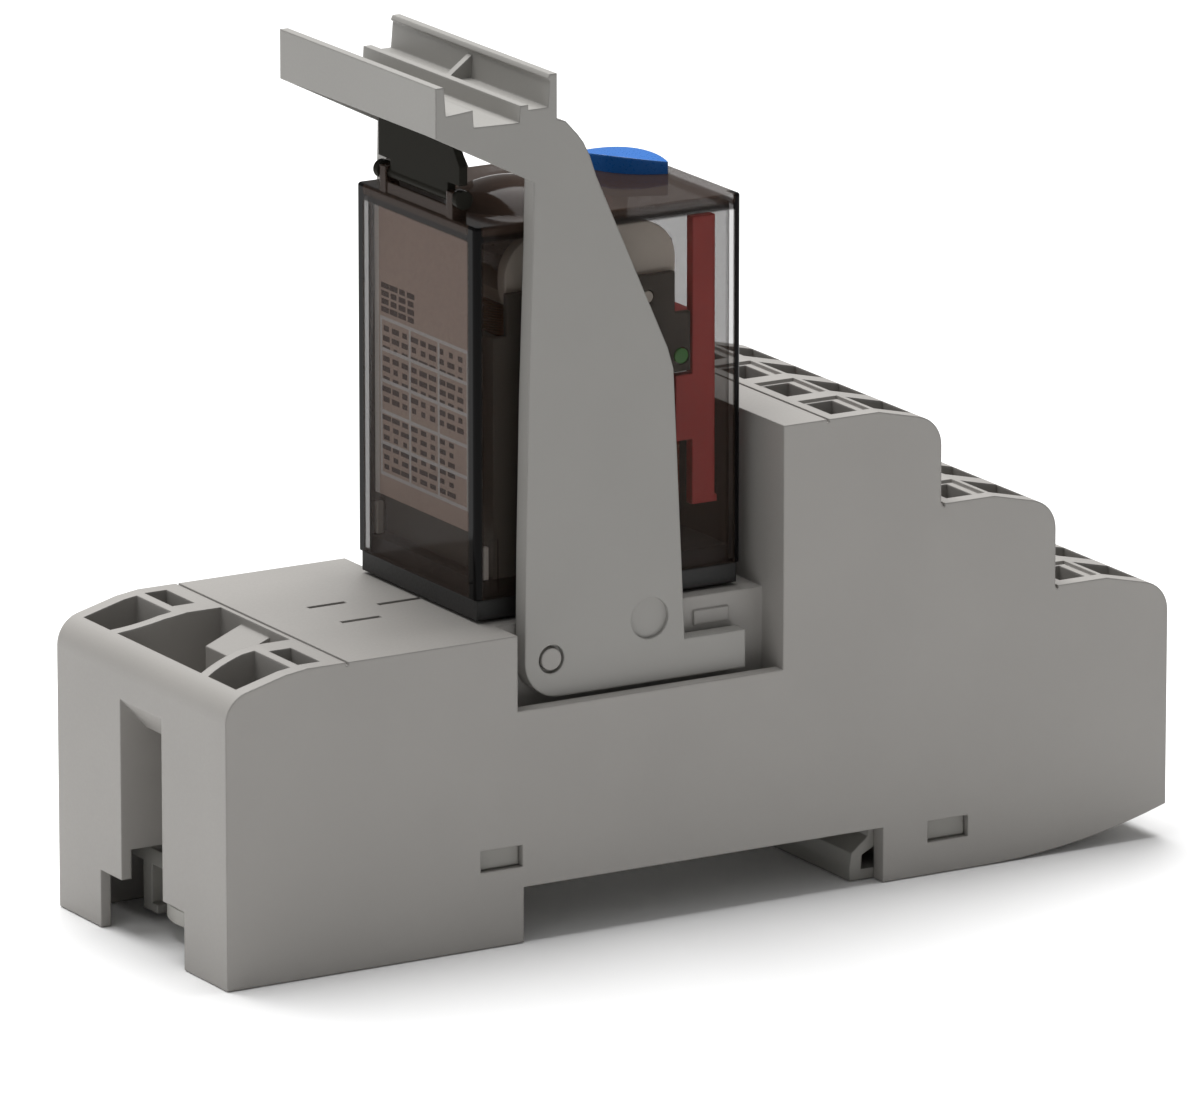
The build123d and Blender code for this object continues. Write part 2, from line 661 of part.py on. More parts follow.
# Common blades, each with a strip that leads to the root of its moving spring
with BuildPart() as common_blades:
    for number in pole_numbers:
        y = number * pole_pitch
        level = (base_top - 0.6, base_top - 0.05)
        side_strip = (y + strip_offset, y + strip_offset + strip_width)
        block(around(row_common, blade_thickness), around(y, blade_width), (blade_tip, base_top - 0.05))
        block((row_common - blade_thickness / 2, spring_x + 0.25), side_strip, level)
        for x in (row_common, spring_x):
            block(around(x, blade_thickness), (y - blade_width / 2 + 0.1, side_strip[1]), level)
save(common_blades, "common_blades")

# Coil blades, each with the lead that runs up to the winding
with BuildPart() as coil_blades:
    for x, y in coil_places:
        block(around(x, blade_thickness), around(y, blade_width), (blade_tip, coil_blade_top))
        block(around(x, blade_thickness - 0.1), around(y, 0.4),
              (coil_blade_top, yoke_bottom + yoke_thickness))
save(coil_blades, "coil_blades")

# Moving contact springs with a contact rivet on each face
with BuildPart() as springs:
    for number in pole_numbers:
        y = number * pole_pitch
        block(around(spring_x, spring_thickness), around(y, blade_width - 0.5), (spring_root, spring_tip))
        rivet_start = (left_end + spring_x - moving_face, y, contact_level)
        with BuildSketch(Plane(origin=rivet_start, z_dir=(1, 0, 0))):
            Circle(contact_radius)
        extrude(amount=2 * moving_face)
save(springs, "moving_contact_springs")

# Insulating frame that stands on the base and carries the magnet system
side_plate = (frame_outer - 0.6, frame_outer)
with BuildPart() as frame:
    for side in both_sides(side_plate):
        with BuildSketch(side_plane(side[1])):
            with BuildLine():
                Polyline((frame_x[0], base_top), (frame_x[1] - 1.8, base_top),
                         (frame_x[1] - 1.8, frame_step), (frame_x[1], frame_step),
                         (frame_x[1], frame_shoulder), (frame_x[1] - 1.6, frame_shoulder),
                         (frame_x[1] - 1.6, frame_top), (frame_x[0] + 1.4, frame_top),
                         (frame_x[0] + 1.4, frame_shoulder), (frame_x[0], frame_shoulder),
                         (frame_x[0], base_top))
            make_face()
        extrude(amount=side[1] - side[0])
    block((frame_x[0], frame_x[0] + 0.8), (-frame_outer, frame_outer), (base_top, frame_shoulder))
    block((frame_x[0], row_closed + 0.4), (-frame_outer, frame_outer), (post_top + gap, yoke_bottom))
    for x, y in coil_places:
        block(around(x, 1.1), around(y, 1.1), (post_top, yoke_bottom + 1), mode=Mode.SUBTRACT)
    for side in both_sides((side_plate[0] - 1, side_plate[1] + 1)):
        cross_cylinder(*peg, peg_radius + slip, side, mode=Mode.SUBTRACT)
    cross_cylinder(*lamp, lamp_radius + slip, (-side_plate[1] - 1, -side_plate[0] + 1), mode=Mode.SUBTRACT)
save(frame, "insulating_frame")

# Status lamp, set in the frame's near side plate
with BuildPart() as lamp_body:
    cross_cylinder(*lamp, lamp_radius, (-frame_outer, -frame_outer + 1.6))
save(lamp_body, "status_lamp")

# Bobbin: a tube with two flanges and two rounded cheeks above the upper flange
flange_x = (coil_axis_x - 7.5, yoke_span[1] - yoke_thickness - slip)
bobbin_bottom = yoke_bottom + yoke_thickness
with BuildPart() as bobbin:
    block(flange_x, around(0, 2 * cheek[0]), (bobbin_bottom, bobbin_bottom + flange))
    block(flange_x, around(0, 2 * cheek[0] + 0.2), (winding_top, winding_top + flange))
    with BuildSketch(Plane.XY.offset(bobbin_bottom)):
        with Locations((left_end + coil_axis_x, 0)):
            Circle(tube_radius)
    extrude(amount=winding_top + flange - bobbin_bottom)
    for side in both_sides(cheek):
        with BuildSketch(side_plane(side[1])):
            with Locations((sum(cheek_x) / 2, (winding_top - 1.5 + cheek_top) / 2)):
                Rectangle(cheek_x[1] - cheek_x[0], cheek_top - winding_top + 1.5)
            fillet(vertices().group_by(Axis.Z)[-1], cheek_round)
        extrude(amount=side[1] - side[0])
    for side in both_sides((cheek[1] - 0.1, frame_outer)):
        cross_cylinder(*peg, peg_radius, side)
    with BuildSketch(Plane.XY.offset(bobbin_bottom - 1)):
        with Locations((left_end + coil_axis_x, 0)):
            Circle(core_radius + slip)
    extrude(amount=20, mode=Mode.SUBTRACT)
save(bobbin, "coil_bobbin")

# Winding
with BuildPart() as winding:
    with BuildSketch(Plane.XY.offset(bobbin_bottom + flange + slip)):
        with Locations((left_end + coil_axis_x, 0)):
            Circle(winding_radius)
            Circle(tube_radius + slip, mode=Mode.SUBTRACT)
    extrude(amount=winding_top - bobbin_bottom - flange - 2 * slip)
save(winding, "coil_winding")

# Iron core with a pole head above the bobbin and a spigot in the yoke
with BuildPart() as core:
    for radius, z_from, z_to in ((core_spigot, yoke_bottom, bobbin_bottom),
                                 (core_radius, bobbin_bottom, core_top),
                                 (core_radius + 1.4, winding_top + flange, core_top)):
        with BuildSketch(Plane.XY.offset(z_from)):
            with Locations((left_end + coil_axis_x, 0)):
                Circle(radius)
        extrude(amount=z_to - z_from)
save(core, "coil_core")

# Yoke: a bottom limb under the coil and an upright limb beside it
with BuildPart() as yoke:
    block(yoke_span, (-yoke_half_width, yoke_half_width), (yoke_bottom, bobbin_bottom))
    block((yoke_span[1] - yoke_thickness, yoke_span[1]), (-yoke_half_width, yoke_half_width),
          (yoke_bottom, yoke_top))
    with BuildSketch(Plane.XY.offset(yoke_bottom)):
        with Locations((left_end + coil_axis_x, 0)):
            Circle(core_spigot + pin_clearance)
    extrude(amount=yoke_thickness, mode=Mode.SUBTRACT)
save(yoke, "yoke")

# Armature: a plate over the core that turns on the yoke's edge, with a tail down its back
armature_bottom = yoke_top + gap
tail_x = (yoke_span[1] + 0.5, yoke_span[1] + 1.5)
with BuildPart() as armature:
    block((armature_left, tail_x[1]), (-armature_half_width, armature_half_width),
          (armature_bottom, armature_bottom + yoke_thickness))
    block(tail_x, (-armature_half_width, armature_half_width),
          (card_bar[0], armature_bottom + yoke_thickness))
save(armature, "armature")

# Leaf that holds the armature down on the yoke
with BuildPart() as armature_leaf:
    block((coil_axis_x + 1.5, tail_x[1]), around(0, 5),
          (armature_bottom + yoke_thickness, armature_bottom + yoke_thickness + spring_thickness))
save(armature_leaf, "armature_leaf_spring")

# Red card on the armature's tail: its legs show the contacts' state, its bar shifts the springs
with BuildPart() as card:
    comb = (post_top + 0.5, yoke_bottom - gap)
    for side in both_sides(card_leg_y):
        block(card_leg_x, side, (card_bottom, card_top))
        block((card_leg_x[0], card_leg_x[1] + 0.25), side, (card_bottom, card_bottom + 0.6))
        block((frame_x[1] - 1.4, card_leg_x[0] + 0.1), side, (comb[0], frame_step - 0.4))
    inside = (-card_leg_y[0] - 0.1, card_leg_y[0] + 0.1)
    block((tail_x[1], card_leg_x[0] + 1.5), inside, card_bar)
    block((spring_x - 1.0, card_leg_x[0] + 0.3), inside, comb)
    for number in pole_numbers:
        block(around(spring_x, spring_thickness + 0.3), around(number * pole_pitch, blade_width),
              (post_top, yoke_bottom), mode=Mode.SUBTRACT)
save(card, "actuating_card")

def leaf(length, width):
    """The outline of the button: two equal arcs that meet in a point at each end"""
    with BuildLine() as outline:
        near = ThreePointArc((-length / 2, 0), (0, -width / 2), (length / 2, 0))
        ThreePointArc(near @ 1, (0, width / 2), near @ 0)
    make_face(outline.edges())


# Smoked cover: a hood over the relay with a raised lens and two ears for the lock flap
with BuildPart() as cover:
    block(relay_x, (-relay_half_width, relay_half_width), (cover_bottom, relay_top))
    fillet(cover.edges().filter_by(Axis.Z), cover_round)
    fillet(cover.edges().group_by(Axis.Z)[-1], cover_top_round)
    block(inner_x, (-cover_inner, cover_inner), (cover_bottom - 1, relay_top - cover_wall),
          mode=Mode.SUBTRACT)
    with BuildSketch(side_plane(lens_y)):
        with BuildLine():
            dome = ThreePointArc((lens_x, relay_top + lens_height),
                                 (lens_x + lens_radius * 0.62, relay_top + lens_height * 0.62),
                                 (lens_x + lens_radius, relay_top))
            Polyline(dome @ 1, (lens_x + lens_radius, relay_top - 0.2), (lens_x, relay_top - 0.2), dome @ 0)
        make_face()
    revolve(axis=Axis((left_end + lens_x, lens_y, 0), (0, 0, 1)))
    for side in both_sides(ear_y):
        block((relay_x[0] + 0.1, 2 * flap_pivot[0] - relay_x[0] - 0.1), side,
              (relay_top - 0.2, flap_pivot[1] + 0.6))
        cross_cylinder(*flap_pivot, flap_rod + pin_clearance, (side[0] - 1, side[1] + 1), mode=Mode.SUBTRACT)
    block(around(flap_pivot[0], 1.5 * flap_thickness), (-ear_y[0] - 0.1, ear_y[0] + 0.1),
          (relay_top - 0.2, flap_pivot[1] - 0.75))
    with BuildSketch(button_plane) as button_hole:
        leaf(button_size[0] + 3 * slip, button_size[1] + 2 * slip)
    extrude(button_hole.sketch, amount=relay_top + 1 - cover_bottom, mode=Mode.SUBTRACT)
    for side in both_sides((relay_half_width - 0.1, relay_half_width + 0.2)):
        for x in (relay_x[0] + 1.4, relay_x[1] - 2.2):
            block((x, x + 0.8), side, (cover_bottom + 0.6, cover_bottom + 5.4))
save(cover, "relay_cover")

# Type label on a card inside the cover's left wall
with BuildPart() as label:
    block((inner_x[0] + slip, inner_x[0] + slip + 0.2), around(0, 2 * label_half_width), label_heights)
save(label, "type_label")

# Lock flap that stands on the cover's left edge
with BuildPart() as flap:
    with BuildSketch(Plane(origin=(left_end + flap_pivot[0] + flap_thickness / 2, 0, 0), x_dir=(0, 1, 0),
                           z_dir=(1, 0, 0))):
        with BuildLine():
            Polyline((-flap_half_width, flap_pivot[1] + 1.3), (-flap_half_width, flap_top - 2),
                     (-flap_half_width + 1.4, flap_top), (flap_half_width, flap_top),
                     (flap_half_width, flap_pivot[1] + 1.3), (ear_y[0] - gap, flap_pivot[1] + 1.3),
                     (ear_y[0] - gap, flap_pivot[1] - 0.3), (-ear_y[0] + gap, flap_pivot[1] - 0.3),
                     (-ear_y[0] + gap, flap_pivot[1] + 1.3), (-flap_half_width, flap_pivot[1] + 1.3))
        make_face()
    extrude(amount=-flap_thickness)
    cross_cylinder(*flap_pivot, flap_rod, (-ear_y[1] - gap, ear_y[1] + gap))
    for side in both_sides((ear_y[1] + gap / 2, ear_y[1] + 0.9)):
        cross_cylinder(*flap_pivot, flap_rod + 0.35, side)
save(flap, "lock_flap")

# Blue test button: a leaf-shaped key with a domed top that drops into the cover
with BuildPart() as button:
    with BuildSketch(button_plane.offset(button_bottom - button_plane.origin.Z)) as key:
        leaf(*button_size)
    extrude(key.sketch, amount=relay_top + button_height - button_bottom)
    dome_radius = ((button_size[0] / 2) ** 2 + button_dome ** 2) / (2 * button_dome)
    dome_plane = Plane(origin=button_plane.origin, x_dir=button_plane.x_dir, z_dir=button_plane.y_dir)
    with BuildSketch(dome_plane.offset(-button_size[1])):
        with Locations((0, -(relay_top + button_height - dome_radius - button_plane.origin.Z))):
            Circle(dome_radius)
    extrude(amount=2 * button_size[1], mode=Mode.INTERSECT)
    with BuildSketch(button_plane.offset(button_bottom - button_plane.origin.Z)):
        SlotOverall(button_size[0] * 0.66, button_size[1] + 1.2)
    extrude(amount=relay_top - cover_wall - 2 * slip - button_bottom)
save(button, "test_button")
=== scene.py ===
# %% [markdown]
# A plug-in relay on its rail socket, dressed for a studio picture.
# The solids come ready made from the CAD model, at their real size and place. This lesson gives them
# finishes, adds the fine trim that a moulded part has, and lights the whole on a pale table.

import math

import bmesh
import bpy
from mathutils import Matrix, Vector


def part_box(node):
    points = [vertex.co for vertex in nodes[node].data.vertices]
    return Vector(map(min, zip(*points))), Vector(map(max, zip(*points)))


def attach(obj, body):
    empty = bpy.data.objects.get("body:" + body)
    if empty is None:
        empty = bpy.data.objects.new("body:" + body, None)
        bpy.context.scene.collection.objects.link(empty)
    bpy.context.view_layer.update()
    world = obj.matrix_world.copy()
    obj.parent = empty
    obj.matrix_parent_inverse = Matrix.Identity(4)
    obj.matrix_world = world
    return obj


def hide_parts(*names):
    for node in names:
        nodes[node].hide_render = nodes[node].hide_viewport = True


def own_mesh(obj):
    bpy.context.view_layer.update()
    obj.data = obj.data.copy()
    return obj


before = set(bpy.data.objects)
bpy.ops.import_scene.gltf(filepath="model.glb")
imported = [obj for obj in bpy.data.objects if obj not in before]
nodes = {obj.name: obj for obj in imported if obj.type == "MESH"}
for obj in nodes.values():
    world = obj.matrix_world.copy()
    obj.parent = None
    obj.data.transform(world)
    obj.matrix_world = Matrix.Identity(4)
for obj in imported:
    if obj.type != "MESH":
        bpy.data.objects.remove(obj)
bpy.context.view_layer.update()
MM = 0.001
MICRON = 1e-6
print("solids loaded:", len(nodes))


# %% [markdown]
# Four small helpers do what the later cells need again and again: put something into the scene, turn it
# towards a direction, turn what it draws into a plain mesh, and give it one material.

# %% Helpers
def add_to_scene(name, data):
    """A new object in the scene that shows this mesh, curve, lamp or camera."""
    made = bpy.data.objects.new(name, data)
    bpy.context.scene.collection.objects.link(made)
    return made


def look_along(thing, direction):
    """Turns a camera or lamp so that it looks along the direction."""
    thing.rotation_mode = "QUATERNION"
    thing.rotation_quaternion = direction.to_track_quat("-Z", "Y")


def plain_mesh(thing):
    """What a curve or a modifier draws, as a mesh of its own."""
    evaluated = thing.evaluated_get(bpy.context.evaluated_depsgraph_get())
    return bpy.data.meshes.new_from_object(evaluated)


def wear(thing, material):
    """Gives an object this one material in place of those that it has."""
    thing.data.materials.clear()
    thing.data.materials.append(material)


# %% [markdown]
# The picture is taken from the left and a little above. The lens is long and the camera stands 1.2 m
# off, so that the upright edges stay almost parallel.

# %% Camera
azimuth, elevation = math.radians(-30.5), math.radians(14.9)
towards_camera = Vector((math.sin(azimuth) * math.cos(elevation),
                         -math.cos(azimuth) * math.cos(elevation), math.sin(elevation)))
camera_data = bpy.data.cameras.new("camera")
camera_data.lens = 390
camera_data.sensor_width = 36
camera_data.clip_start, camera_data.clip_end = 0.05, 20
camera = add_to_scene("camera", camera_data)
camera.location = Vector((-573.7, -970.83, 329.38)) * MM
look_along(camera, -towards_camera)
bpy.context.scene.camera = camera
bpy.context.scene.view_settings.view_transform = "Standard"


# %% [markdown]
# Shader maths reads best as plain sums. The class below wraps the output of a shader node, and its
# operators add Math nodes, so that `1 - mask * 0.3` builds the nodes that work it out.

# %% A socket that can be calculated with
class Value:
    """The output of a shader node, with the arithmetic that the finishes use."""

    def __init__(self, tree, socket):
        self.tree = tree
        self.socket = socket

    def maths(self, operation, *operands, clamp=False):
        """The result of a Math node that is fed with these values or numbers."""
        node = self.tree.nodes.new("ShaderNodeMath")
        node.operation = operation
        node.use_clamp = clamp
        for slot, operand in zip(node.inputs, operands):
            if isinstance(operand, Value):
                self.tree.links.new(operand.socket, slot)
            else:
                slot.default_value = operand
        return Value(self.tree, node.outputs[0])

    def __add__(self, other):
        return self.maths("ADD", self, other)

    def __sub__(self, other):
        return self.maths("SUBTRACT", self, other)

    def __rsub__(self, other):
        return self.maths("SUBTRACT", other, self)

    def __mul__(self, other):
        return self.maths("MULTIPLY", self, other)

    def __gt__(self, other):
        return self.maths("GREATER_THAN", self, other)

    def absolute(self):
        return self.maths("ABSOLUTE", self)

    def sine(self):
        return self.maths("SINE", self)

    def clamped(self):
        """The value held between 0 and 1."""
        return self.maths("ADD", self, 0.0, clamp=True)

    def ramp(self, low, high):
        """0 below low, 1 above high, and a straight slope between them."""
        return self.maths("MULTIPLY", self - low, 1 / (high - low), clamp=True)


# %% [markdown]
# A finish is a material under construction. Its methods add the nodes that every finish needs: the
# place on the object, soft noise, a mix of two colours and a relief of fine bumps.

# %% A material under construction
MIX_COLOUR_LOW, MIX_COLOUR_HIGH, MIX_COLOUR_RESULT = 6, 7, 2    # sockets of a Mix node set to colours
BEVEL_SAMPLES = 6


class Finish:
    """A material that is being built: it makes nodes and ends in one shader."""

    def __init__(self, name):
        self.material = bpy.data.materials.new(name)
        self.material.use_nodes = True
        self.tree = self.material.node_tree
        self.shader = self.tree.nodes["Principled BSDF"]

    def feed(self, socket, value):
        """Links a value or another node's socket to this socket, or sets it to a constant."""
        if isinstance(value, Value):
            self.tree.links.new(value.socket, socket)
        elif isinstance(value, bpy.types.NodeSocket):
            self.tree.links.new(value, socket)
        else:
            socket.default_value = value

    def node(self, kind, settings=None, **inputs):
        """A new node, its settings first and then the values or links of its sockets."""
        made = self.tree.nodes.new(kind)
        for key, value in (settings or {}).items():
            setattr(made, key, value)
        for key, value in inputs.items():
            self.feed(made.inputs[key.replace("_", " ")], value)
        return made

    def set(self, **inputs):
        """Feeds the shader itself."""
        for key, value in inputs.items():
            self.feed(self.shader.inputs[key.replace("_", " ")], value)

    def value(self, socket):
        return Value(self.tree, socket)

    def place(self):
        """The x, y and z of the point on the object, in metres."""
        coordinates = self.node("ShaderNodeTexCoord").outputs["Object"]
        parts = self.node("ShaderNodeSeparateXYZ", Vector=coordinates)
        return [self.value(part) for part in parts.outputs]

    def noise(self, scale, detail, squeeze=(1, 1, 1)):
        """Soft random spots, scale of them to a metre, made narrower along x, y or z by a factor."""
        coordinates = self.node("ShaderNodeTexCoord").outputs["Object"]
        mapping = self.node("ShaderNodeMapping", Vector=coordinates, Scale=squeeze)
        cloud = self.node("ShaderNodeTexNoise", Vector=mapping.outputs[0], Scale=scale, Detail=detail)
        return self.value(cloud.outputs["Fac"])

    def mix(self, mask, low, high):
        """The colour low where the mask is 0 and high where it is 1."""
        mixer = self.node("ShaderNodeMix", {"data_type": "RGBA"}, Factor=mask)
        self.feed(mixer.inputs[MIX_COLOUR_LOW], low)
        self.feed(mixer.inputs[MIX_COLOUR_HIGH], high)
        return mixer.outputs[MIX_COLOUR_RESULT]

    def relief(self, height, distance, edge=0.0):
        """Bumps of that distance in metres, over edges that look rounded to a radius."""
        bump = self.node("ShaderNodeBump", Strength=1.0, Distance=distance, Height=height)
        if edge:
            rounded = self.node("ShaderNodeBevel", {"samples": BEVEL_SAMPLES}, Radius=edge)
            self.feed(bump.inputs["Normal"], rounded.outputs[0])
        return bump.outputs[0]


def rgb(red, green, blue):
    """A colour given as it looks on a screen, from 0 to 255, as the linear values of a shader."""
    linear = [((part / 255 + 0.055) / 1.055) ** 2.4 if part > 10 else part / 255 / 12.92
              for part in (red, green, blue)]
    return (*linear, 1.0)


def shaded(colour, factor):
    """The colour made darker or lighter by a factor, but never brighter than full."""
    return (*(min(1, part * factor) for part in colour[:3]), 1.0)


# %% [markdown]
# Moulded thermoplastic is never quite one colour: it has a fine spark-eroded grain, faint clouds where
# the melt flowed, and a softer shine on the grain's tops. The grain is a bump of a few microns and the
# clouds shift the colour by a few percent. Edges catch a thin line of light because each has a radius.

# %% Moulded plastic
CLOUDS_PER_METRE, PITS_PER_METRE = 70, 3800
PIT_ROUGHNESS = 0.25


def moulded(name, colour, grain=4 * MICRON, gloss=0.5, clouds=0.02, edge=0.25 * MM):
    """Plastic of that colour and roughness, with its grain's depth and its edges' radius in metres."""
    finish = Finish(name)
    cloud = finish.noise(CLOUDS_PER_METRE, detail=4).ramp(0.35, 0.65)
    pits = finish.noise(PITS_PER_METRE, detail=3)
    finish.set(Base_Color=finish.mix(cloud, shaded(colour, 1 - clouds), shaded(colour, 1 + clouds)),
               Roughness=(pits - 0.5) * PIT_ROUGHNESS + gloss,
               Normal=finish.relief(pits, grain, edge))
    return finish.material


housing_gray = moulded("housing gray", rgb(154, 151, 147), gloss=0.52)
lever_gray = moulded("lever gray", rgb(150, 148, 144))
carrier_gray = moulded("carrier gray", rgb(144, 142, 137))
foot_gray = moulded("foot gray", rgb(178, 176, 170), gloss=0.45)
base_black = moulded("base black", rgb(27, 26, 25), grain=1 * MICRON, gloss=0.55)
frame_black = moulded("frame black", rgb(92, 89, 83), grain=1 * MICRON, gloss=0.6)
bobbin_cream = moulded("bobbin cream", rgb(252, 240, 226), gloss=0.38)
card_red = moulded("card red", rgb(222, 84, 80), gloss=0.40, clouds=0.06)
button_blue = moulded("button blue", rgb(28, 104, 186), grain=2 * MICRON, gloss=0.30)
# Near white: a painted highlight for the glints on the cover over the catches, not their own colour.
catch_painted_highlight = moulded("catch painted highlight", rgb(248, 240, 230), gloss=0.35)
lamp_green = moulded("lamp green", rgb(96, 170, 92), grain=1 * MICRON, gloss=0.15)


# %% [markdown]
# Rolled and stamped metal has fine streaks along its rolling direction. Squeezing a noise along one
# axis gives them, and they vary the roughness. Wide spots of tarnish vary the colour.

# %% Stamped metal
STREAKS_PER_METRE, TARNISH_PER_METRE = 1400, 260
STREAK_ROUGHNESS, STREAK_DEPTH = 0.3, 3 * MICRON
TARNISH_SHADE = 0.72
STAMPED_EDGE = 0.1 * MM


def stamped(name, colour, gloss=0.3):
    """Metal of that colour and roughness, with streaks that lie across its height."""
    finish = Finish(name)
    streaks = finish.noise(STREAKS_PER_METRE, detail=3, squeeze=(1, 1, 12))
    tarnish = finish.noise(TARNISH_PER_METRE, detail=3).ramp(0.4, 0.75)
    finish.set(Base_Color=finish.mix(tarnish, colour, shaded(colour, TARNISH_SHADE)), Metallic=1.0,
               Roughness=(streaks - 0.5) * STREAK_ROUGHNESS + gloss,
               Normal=finish.relief(streaks, STREAK_DEPTH, STAMPED_EDGE))
    return finish.material


busbar_copper = stamped("tinned busbar", rgb(196, 178, 150))
spring_steel = stamped("spring steel", rgb(205, 205, 202), gloss=0.25)
contact_brass = stamped("silvered brass", rgb(214, 202, 172), gloss=0.24)
soft_iron = stamped("plated iron", rgb(190, 188, 184), gloss=0.32)


# %% [markdown]
# The coil is enamelled copper wire laid in level turns. A wave along the coil's axis gives one ridge
# for each turn, which the light follows round the winding. The valleys between turns are also painted
# darker, a painted shade.

# %% Coil of enamelled wire
TURNS_PER_METRE = 4200
RIDGE_HEIGHT = 40 * MICRON
# Painted shade: the colour in the valleys between turns is darkened by this factor.
PAINTED_VALLEY_SHADE = 0.55


def wound_wire(name, colour):
    """Enamelled wire wound round an upright axis."""
    finish = Finish(name)
    _, _, z = finish.place()
    ridge = (z * (TURNS_PER_METRE * 2 * math.pi)).sine()
    height = (ridge * 0.5 + 0.5).clamped()
    # The colour darkens from ridge to valley, a painted shade laid over the bump's own shading.
    finish.set(Base_Color=finish.mix(height, shaded(colour, PAINTED_VALLEY_SHADE), colour), Metallic=0.6,
               Roughness=0.34, Coat_Weight=0.5, Normal=finish.relief(ridge, RIDGE_HEIGHT))
    return finish.material


coil_wire = wound_wire("enamelled wire", rgb(168, 92, 48))


# %% [markdown]
# The cover is dark transparent plastic. Seen straight on it lets the works show through. At its corners
# the light runs along the wall and is swallowed, so those look almost black. The alpha therefore rises
# at the rims, which are the upright corners and the edge of the roof. It rises less in the roof and in
# the far wall, and a little wherever a wall is seen at a slant.

# %% Smoked plastic
# Each pair says how far inside the cover a mask begins and where it is full, in millimetres.
CORNER_ALONG, CORNER_ACROSS, FAR_CORNER = (0.9, 0.6), (1.7, 1.3), (2.2, 1.8)
ROOF, ROOF_EDGE = (0.9, 0.7), (1.5, 1.3)
# What each mask adds to the alpha. The roof is clearer over the works.
SLANT_ALPHA, RIM_ALPHA, FAR_WALL_ALPHA, FAR_CORNER_ALPHA = 0.25, 0.75, 0.1, 0.35
ROOF_ALPHA, CLEARER_OVER_WORKS = 0.55, 0.27
ROOF_EDGE_SHARE = 0.8
WORKS_BEGIN, WORKS_FULL, FAR_WALL_FROM = -10 * MM, -4 * MM, 9.7 * MM
RIM_TINT = rgb(12, 11, 11)
SMOKED_IOR = 1.2
SMOKED_ROUGHNESS, SCRATCH_ROUGHNESS = 0.07, 0.06
SCRATCHES_PER_METRE, SCRATCH_DEPTH = 900, 0.3 * MICRON
SMOKED_EDGE = 0.2 * MM


def near_face(distance, face, depths):
    """0 inside a box and 1 at its face, with a slope between the two depths."""
    return distance.ramp(face - depths[0] * MM, face - depths[1] * MM)


def cover_masks(finish, low, high):
    """Where the cover's rims are, from 0 to 1, and what its rims, roof and far wall add to the alpha."""
    x, y, z = finish.place()
    centre, half = (low + high) / 2, (high - low) / 2
    from_x, from_y = (x - centre.x).absolute(), (y - centre.y).absolute()
    corner = near_face(from_x, half.x, CORNER_ALONG) * near_face(from_y, half.y, CORNER_ACROSS)
    roof = near_face(z, high.z, ROOF)
    roof_edge = near_face(z, high.z, ROOF_EDGE) * (1 - roof)
    rim = (corner + roof_edge * ROOF_EDGE_SHARE).clamped()
    over_works = x.ramp(WORKS_BEGIN, WORKS_FULL)
    far_wall = y > FAR_WALL_FROM
    far_corner = near_face(from_x, half.x, FAR_CORNER)
    added = (rim * RIM_ALPHA + roof * (ROOF_ALPHA - over_works * CLEARER_OVER_WORKS)
             + far_wall * (far_corner * FAR_CORNER_ALPHA + FAR_WALL_ALPHA))
    return rim, added


def smoked(name, colour, density, mirror, box=None):
    """Dark plastic whose walls have the alpha density where they are seen straight on.

    With the box of a cover, its rims, roof and far wall are denser.
    """
    finish = Finish(name)
    facing = finish.value(finish.node("ShaderNodeLayerWeight", Blend=0.35).outputs["Facing"])
    alpha = facing * SLANT_ALPHA + density
    tint = colour
    if box is not None:
        rim, added = cover_masks(finish, *box)
        alpha = alpha + added
        tint = finish.mix(rim, colour, RIM_TINT)
    scratches = finish.noise(SCRATCHES_PER_METRE, detail=3, squeeze=(1, 1, 6))
    finish.set(Base_Color=tint, Alpha=alpha.clamped(),
               Roughness=(scratches - 0.5) * SCRATCH_ROUGHNESS + SMOKED_ROUGHNESS,
               IOR=SMOKED_IOR, Specular_IOR_Level=mirror,
               Normal=finish.relief(scratches, SCRATCH_DEPTH, SMOKED_EDGE))
    return finish.material


cover_low, cover_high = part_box("relay_cover")
cover_high.z = 64.2 * MM    # the flat roof, under the dome and the flap's hinge
cover_smoke = smoked("smoked cover", rgb(56, 44, 37), density=0.26, mirror=0.3,
                     box=(cover_low, cover_high))
flap_smoke = smoked("smoked flap", rgb(42, 41, 37), density=0.98, mirror=0.04)


# %% [markdown]
# The type label is a card behind the cover's end wall. Paper is matt and faintly mottled. The card is
# toned, with a nearly white margin along its far edge.

# %% Paper card
FIBRES_PER_METRE, FIBRE_DEPTH = 2200, 6 * MICRON
AGED_SHADE = 0.88
PALE_MARGIN = rgb(250, 244, 238)
NO_MARGIN = 1.0    # a metre is past the whole part


def paper(name, colour, pale_from=NO_MARGIN):
    """Paper of that colour, and nearly white where y is more than pale_from."""
    finish = Finish(name)
    fibre = finish.noise(FIBRES_PER_METRE, detail=5)
    _, y, _ = finish.place()
    mottled = finish.mix(fibre.ramp(0.3, 0.7), shaded(colour, AGED_SHADE), colour)
    finish.set(Base_Color=finish.mix(y > pale_from, mottled, PALE_MARGIN), Roughness=0.85,
               Normal=finish.relief(fibre, FIBRE_DEPTH))
    return finish.material


label_paper = paper("label paper", rgb(228, 200, 185), pale_from=8.1 * MM)
dark_ink = paper("dark ink", rgb(92, 78, 76))
pale_ink = paper("pale ink", rgb(255, 252, 248))


# %% [markdown]
# The card carries rows of plain print: dark dashes of uneven length between pale ruled lines. One node
# tree makes every field of them. It lays a grid of points on the card, puts a thin bar on each point
# and stretches the bars by seeded random factors, so the fields differ only in their inputs.

# %% A node tree for fields of printed bars
BAR_THICKNESS = 0.02 * MM
UPRIGHT_ON_END = (math.pi / 2, 0, -math.pi / 2)    # turns a flat field to face the relay's label end
RANDOM_FLOAT_MIN, RANDOM_FLOAT_RESULT = 2, 1       # sockets of a Random Value node set to floats


